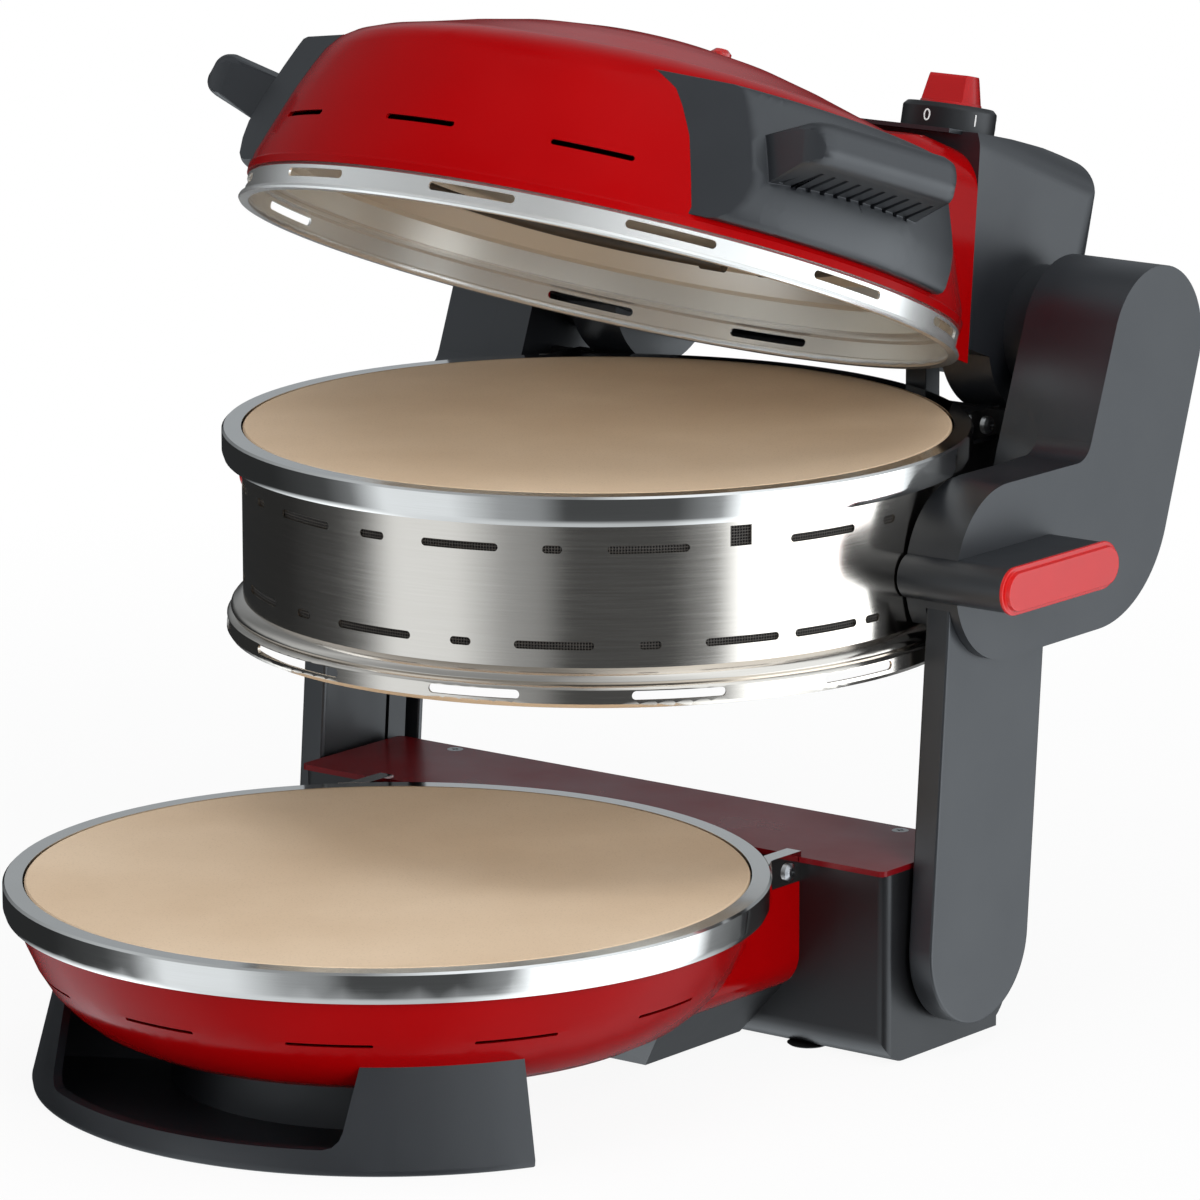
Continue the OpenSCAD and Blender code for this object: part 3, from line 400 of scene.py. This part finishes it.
cloud = add_node(brush, "ShaderNodeTexNoise", {"Vector": brush_in.outputs["Place"], "Scale": 14})
streak_share = maths(brush, "MULTIPLY", streak.outputs["Fac"], 0.65)
both = maths(brush, "MULTIPLY_ADD", cloud.outputs["Fac"], 0.35, streak_share)
metal_tone = add_node(brush, "ShaderNodeMix",
                      {"Factor": both, "A": brush_in.outputs["Dark"], "B": brush_in.outputs["Light"]},
                      data_type="RGBA")
gloss = add_node(brush, "ShaderNodeMapRange",
                 {"Value": both, "From Min": 0.3, "From Max": 0.7,
                  "To Min": brush_in.outputs["Smooth"], "To Max": brush_in.outputs["Rough"]})
brush.links.new(metal_tone.outputs["Result"], brush_out.inputs["Colour"])
brush.links.new(gloss.outputs["Result"], brush_out.inputs["Roughness"])
brush.links.new(streak.outputs["Fac"], brush_out.inputs["Height"])


def brushed(name, dark, light, smooth, rough, stretch, bump=0.0, metal=1.0):
    """Bare metal with drawn-out marks. Stretch is how fine they are along X, Y and Z."""
    mat, shader = patterned(name, brush,
                            {"Stretch": stretch, "Dark": (*dark, 1), "Light": (*light, 1),
                             "Smooth": smooth, "Rough": rough}, bump, depth=0.0001)
    shader.inputs["Metallic"].default_value = metal
    return mat


polished = brushed("polished_steel", (0.82, 0.79, 0.75), (0.95, 0.925, 0.89),
                   smooth=0.06, rough=0.13, stretch=(30, 30, 1800))
stone_low, stone_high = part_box("mid_stone")
deck_axis = ((stone_low + stone_high) / 2, Vector((0, 0, 1)))
eased("lower_rim", "base", polished, axis=lower_axis)
eased("mid_rim", "deck", polished, axis=deck_axis)
eased("lower_rim_screws", "base", screw_steel)
eased("mid_rim_screws", "deck", screw_steel)

# ---------------------------------------------------------------- stones
# Two round baking stones of pressed and fired cordierite clay: beige, matt,
# with fine pits and a scatter of darker and paler grains.
stone = bpy.data.materials.new("stone")
stone.use_nodes = True
clay = stone.node_tree
body_of_clay = clay.nodes["Principled BSDF"]
where = add_node(clay, "ShaderNodeTexCoord").outputs["Object"]
patches = add_node(clay, "ShaderNodeTexNoise", {"Vector": where, "Scale": 9, "Detail": 6})
base_tone = add_node(clay, "ShaderNodeValToRGB", {"Fac": patches.outputs["Fac"]})
base_tone.color_ramp.elements[0].position = 0.3
base_tone.color_ramp.elements[0].color = (0.66, 0.49, 0.33, 1)
base_tone.color_ramp.elements[1].position = 0.7
base_tone.color_ramp.elements[1].color = (0.76, 0.59, 0.42, 1)
grit = add_node(clay, "ShaderNodeTexVoronoi", {"Vector": where, "Scale": 620})
fleck = add_node(clay, "ShaderNodeMapRange",
                 {"Value": grit.outputs["Distance"], "From Min": 0.05, "From Max": 0.32,
                  "To Min": 0.35, "To Max": 0.0})
speckled = add_node(clay, "ShaderNodeMix",
                    {"Factor": fleck.outputs["Result"], "A": base_tone.outputs["Color"],
                     "B": (0.44, 0.32, 0.21, 1)}, data_type="RGBA")
pores = add_node(clay, "ShaderNodeTexNoise", {"Vector": where, "Scale": 800, "Detail": 4})
pitted = add_node(clay, "ShaderNodeBump",
                  {"Strength": 0.35, "Distance": 0.0004, "Height": pores.outputs["Fac"]})
clay.links.new(speckled.outputs["Result"], body_of_clay.inputs["Base Color"])
clay.links.new(pitted.outputs["Normal"], body_of_clay.inputs["Normal"])
body_of_clay.inputs["Roughness"].default_value = 0.78
eased("lower_stone", "base", stone)
eased("mid_stone", "deck", stone)

# ---------------------------------------------------------------- heaters and reflectors
# Sheathed steel elements under each stone and over each chamber, with bright
# steel pans and reflectors behind them.
heater_steel = moulded("heater_steel", (0.09, 0.085, 0.08), (0.2, 0.18, 0.16),
                       smooth=0.4, rough=0.6, pebble=1200, bump=0.2, metal=0.9)
for name, body in [("lower_heater", "base"), ("mid_heater", "deck"), ("mid_low_heater", "deck"),
                   ("lid_heater", "lid")]:
    eased(name, body, heater_steel)

# the lid's round parts share an axis that leans back with the open lid
hinge = next(joint for joint in frame["joints"] if joint["name"] == "lid_hinge")
hinge_place = Vector(hinge["pos_m"])
lid_open = math.radians(21)
lid_up = Vector((0, math.sin(lid_open), math.cos(lid_open)))
lid_back = Vector((0, math.cos(lid_open), -math.sin(lid_open)))
hinge_behind_dome = hinge_place.y - deck_axis[0].y
lid_middle = Vector((0, hinge_place.y, hinge_place.z)) - hinge_behind_dome * lid_back
lid_axis = (lid_middle, lid_up)
# the pans' and reflectors' pale cream tone is partly the steel's own colour and partly a painted
# reflection of the stones
liner_with_painted_reflection = brushed("liner_steel", (0.90, 0.86, 0.78), (0.93, 0.89, 0.81),
                smooth=0.27, rough=0.33, stretch=(9, 9, 9), metal=0.8)
for name, body, axis in [("lower_reflector", "base", lower_axis), ("mid_tray", "deck", deck_axis),
                         ("mid_reflector", "deck", deck_axis), ("lid_reflector", "lid", lid_axis)]:
    eased(name, body, liner_with_painted_reflection, axis=axis)

# ---------------------------------------------------------------- shaft, bushes and pins
# A ground steel cross shaft turns in flanged bronze bushes in the box. Headed
# steel pins carry the arms, the levelling links and the lid's hinge.
bronze = moulded("bronze", (0.38, 0.24, 0.09), (0.5, 0.33, 0.13),
                 smooth=0.3, rough=0.45, pebble=900, bump=0.1, metal=1.0)
pin_steel = brushed("pin_steel", (0.38, 0.38, 0.39), (0.56, 0.56, 0.57),
                    smooth=0.18, rough=0.34, stretch=(40, 1500, 1500), bump=0.05)
dress("shaft_bushes", bronze)
for name in ("arm_shaft", "link_low_pins", "link_top_pins", "arm_pins", "hinge_pins"):
    dress(name, pin_steel)

# ---------------------------------------------------------------- lifting arms
# Each arm is a pressed steel channel behind a smooth charcoal cover with
# round ends, and a flat levelling link runs beside it.
for side in ("left", "right"):
    eased("arm_cover_" + side, "arms", charcoal, radius=0.0014, steps=3)
    dress("arm_link_" + side, black_plastic)
    dress("level_link_" + side, black_plastic)

# ---------------------------------------------------------------- deck wall, mesh and flange
# The middle deck's wall is one band of rolled stainless with punched slots, a
# woven wire mesh behind them, and a beaded flange with long slots below.
wall_steel = brushed("brushed_steel", (0.77, 0.70, 0.62), (0.94, 0.87, 0.79),
                     smooth=0.12, rough=0.22, stretch=(30, 30, 1500))
eased("mid_wall", "deck", wall_steel, axis=deck_axis)
eased("mid_flange", "deck", wall_steel, axis=deck_axis)

# the weave is one wave round the drum and one up it, with wires on their crests and the gaps between them
# painted near-black as the shade seen through the weave
waves_round = 760
waves_up = 4600
mesh_steel = bpy.data.materials.new("dark_mesh")
mesh_steel.use_nodes = True
weave = mesh_steel.node_tree
wire = weave.nodes["Principled BSDF"]
deck_low, deck_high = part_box("mid_mesh")
deck_middle = ((deck_low.x + deck_high.x) / 2, (deck_low.y + deck_high.y) / 2, 0)
on_mesh = add_node(weave, "ShaderNodeTexCoord")
centred = add_node(weave, "ShaderNodeVectorMath", {0: on_mesh.outputs["Object"], 1: deck_middle},
                   operation="SUBTRACT")
parts = add_node(weave, "ShaderNodeSeparateXYZ", {0: centred.outputs["Vector"]})
turn = maths(weave, "ARCTAN2", parts.outputs["X"], parts.outputs["Y"])
round_wave = maths(weave, "SINE", maths(weave, "MULTIPLY", turn, waves_round))
upright_wave = maths(weave, "SINE", maths(weave, "MULTIPLY", parts.outputs["Z"], waves_up))
crossing = maths(weave, "MAXIMUM", round_wave, upright_wave)
wires = add_node(weave, "ShaderNodeValToRGB", {"Fac": crossing})
wires.color_ramp.elements[0].position = 0.35
wires.color_ramp.elements[0].color = (0.006, 0.005, 0.005, 1)
wires.color_ramp.elements[1].position = 0.95
wires.color_ramp.elements[1].color = (0.11, 0.10, 0.09, 1)
woven = add_node(weave, "ShaderNodeBump", {"Strength": 0.6, "Distance": 0.0004, "Height": crossing})
weave.links.new(wires.outputs["Color"], wire.inputs["Base Color"])
weave.links.new(woven.outputs["Normal"], wire.inputs["Normal"])
wire.inputs["Metallic"].default_value = 0.7
wire.inputs["Roughness"].default_value = 0.5
dress("mid_mesh", mesh_steel)

# ---------------------------------------------------------------- middle box and wiring duct
# A black moulded box behind the deck closes the room between the elbows, and
# a square duct takes the wires up to the lid.
eased("mid_housing", "deck", black_plastic, radius=0.0012)
eased("wire_post", "deck", black_plastic, radius=0.0012)

# ---------------------------------------------------------------- elbows
# The pair of elbows joins the arms, the deck and the lid's hinge. Each is two
# charcoal mouldings that meet in an upright seam.
for side in ("left", "right"):
    eased("elbow_outer_" + side, "deck", charcoal, radius=0.0022, steps=3)
    eased("elbow_inner_" + side, "deck", charcoal, radius=0.0012)

# ---------------------------------------------------------------- lift grips
# An oblong bar stands out of each elbow to lift the deck by. Its end carries
# a glossy red cap that is pressed on.
red_plastic = moulded("red_plastic", (0.50, 0.004, 0.004), (0.60, 0.008, 0.007),
                      smooth=0.16, rough=0.26, pebble=700, bump=0.03, coat=0.3)
for side in ("left", "right"):
    eased("grip_" + side, "deck", charcoal, radius=0.0008)
    eased("grip_cap_" + side, "deck", red_plastic, radius=0.0006)

# ---------------------------------------------------------------- dome and skirt
# The lid's dome and rear hood are one pressed shell in gloss red enamel with
# vent slits. A bright slotted skirt hangs below its edge.
satin_steel = brushed("satin_steel", (0.91, 0.90, 0.87), (0.94, 0.93, 0.90),
                      smooth=0.2, rough=0.26, stretch=(9, 9, 9), metal=0.8)
eased("lid_shell", "lid", red_enamel, axis=lid_axis)
eased("lid_skirt", "lid", satin_steel, axis=lid_axis)

# ---------------------------------------------------------------- lid housing
# The charcoal housing behind the dome holds the control and the hinge lugs. A
# thin lip of it reaches forward over the hood.
eased("lid_housing", "lid", charcoal, radius=0.0012)

# ---------------------------------------------------------------- side handles
# Each handle is one moulding: a block that fits the dome's side, and a bar on
# it with grip grooves below. Two hidden screws hold it from inside the dome.
bar_turn = math.radians(14)
bar_out = 0.165
bar_height = 0.021
bar_reach = 0.0765 + 0.1
bar_round = 0.010
bar_draw = 0.30
rounding_cuts = (0.06, 0.2, 0.45, 1.0)


def from_lid_axis(point):
    """How far a point lies from the lid's axis."""
    arm = point - lid_middle
    return (arm - arm.dot(lid_up) * lid_up).length


def soften_bar(shape):
    """Draws in both ends of the bar, which taper to a soft round nose."""
    middle = lid_middle + bar_out * outward + bar_height * lid_up
    beyond = [v.co for v in shape.verts if from_lid_axis(v.co) > bar_reach]
    front_end = min((c - middle).dot(onward) for c in beyond)
    rear_end = max((c - middle).dot(onward) for c in beyond)
    for end, inward in ((front_end, 1), (rear_end, -1)):
        for share in rounding_cuts:
            cut = middle + (end + inward * share * bar_round) * onward
            everything = shape.verts[:] + shape.edges[:] + shape.faces[:]
            bmesh.ops.bisect_plane(shape, geom=everything, dist=1e-6, plane_co=cut, plane_no=onward)
    for point in shape.verts:
        if from_lid_axis(point.co) < bar_reach:
            continue
        place = (point.co - middle).dot(onward)
        depth = min(place - front_end, rear_end - place)
        if depth < bar_round:
            pull = bar_draw * (1 - math.sqrt(1 - (1 - max(depth, 0) / bar_round) ** 2))
            offset = point.co - middle - place * onward
            point.co -= pull * offset


for side, sign in (("left", -1), ("right", 1)):
    outward = sign * math.cos(bar_turn) * Vector((1, 0, 0)) - math.sin(bar_turn) * lid_back
    onward = sign * math.sin(bar_turn) * Vector((1, 0, 0)) + math.cos(bar_turn) * lid_back
    eased("handle_" + side, "lid", charcoal, radius=0.0004, corner=55, smooth=42,
          clamp=False, reshape=soften_bar)

# ---------------------------------------------------------------- pilot lamp
# A small domed lens of clear red plastic, pushed through the dome's top.
lens_red = moulded("red_lens", (0.55, 0.01, 0.008), (0.7, 0.02, 0.015),
                   smooth=0.05, rough=0.1, pebble=300, bump=0.01, coat=0.8)
lens_red.node_tree.nodes["Principled BSDF"].inputs["Transmission Weight"].default_value = 0.35
eased("lamp_lens", "lid", lens_red, radius=0.0006)

# ---------------------------------------------------------------- timer ring
# The ring round the knob is black plastic, with the numbers 0 to 4 printed in
# white on its side.
number_count = 5
number_height = 0.0056
digit_share = 0.7
first_number = math.radians(7)
number_step = math.radians(61.6)
below_ring_top = 0.0068
number_skin = 0.00012
knob_joint = next(joint for joint in frame["joints"] if joint["name"] == "knob_turn")
knob_up = Vector(knob_joint["axis"]).normalized()
knob_place = Vector(knob_joint["pos_m"])
ring_right = knob_up.cross(Vector((0, 0, 1))).normalized()
ring_front = ring_right.cross(knob_up)
ring_arms = [corner.co - knob_place for corner in nodes["knob_bezel"].data.vertices]
ring_radius = max((arm - arm.dot(knob_up) * knob_up).length for arm in ring_arms)
ring_top = max(arm.dot(knob_up) for arm in ring_arms)
eased("knob_bezel", "lid", black_plastic, radius=0.0012, steps=3, corner=25)
white_print = moulded("white_print", (0.70, 0.70, 0.69), (0.80, 0.80, 0.79),
                      smooth=0.45, rough=0.55, pebble=2000, bump=0.05)
for number in range(number_count):
    title = "number_%d" % number
    letters = bpy.data.curves.new(title, "FONT")
    letters.body = str(number)
    letters.size = number_height / digit_share
    letters.align_x = "CENTER"
    letters.align_y = "CENTER"
    letters.resolution_u = 4
    flat = bpy.data.objects.new("flat_number", letters)
    bpy.context.scene.collection.objects.link(flat)
    bpy.context.view_layer.update()
    mesh = bpy.data.meshes.new_from_object(flat.evaluated_get(bpy.context.evaluated_depsgraph_get()))
    bpy.data.objects.remove(flat)
    outline = bmesh.new()
    outline.from_mesh(mesh)
    bmesh.ops.subdivide_edges(outline, edges=outline.edges, cuts=2)
    bmesh.ops.triangulate(outline, faces=outline.faces)
    for point in outline.verts:
        bend = first_number + number * number_step + point.co.x / ring_radius
        out = math.sin(bend) * ring_right + math.cos(bend) * ring_front
        rise = ring_top - below_ring_top + point.co.y
        point.co = knob_place + (ring_radius + number_skin) * out + rise * knob_up
    outline.to_mesh(mesh)
    outline.free()
    mesh.name = title
    mesh.materials.clear()
    mesh.materials.append(white_print)
    piece = bpy.data.objects.new(title, mesh)
    bpy.context.scene.collection.objects.link(piece)
    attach(piece, "lid")

# ---------------------------------------------------------------- knob
# The knob is a red moulding with a tapered fin, pressed on a steel shaft that
# comes up through the ring.
# the knob's red is the caps' red plastic made darker, as painted shade on the knob
knob_red_painted_shade = moulded("knob_red_painted_shade", (0.34, 0.002, 0.003), (0.40, 0.004, 0.004),
                   smooth=0.18, rough=0.28, pebble=700, bump=0.03, coat=0.2, shine=0.3)
eased("knob", "knob", knob_red_painted_shade, radius=0.0012, steps=3, corner=25)
dress("knob_shaft", pin_steel)
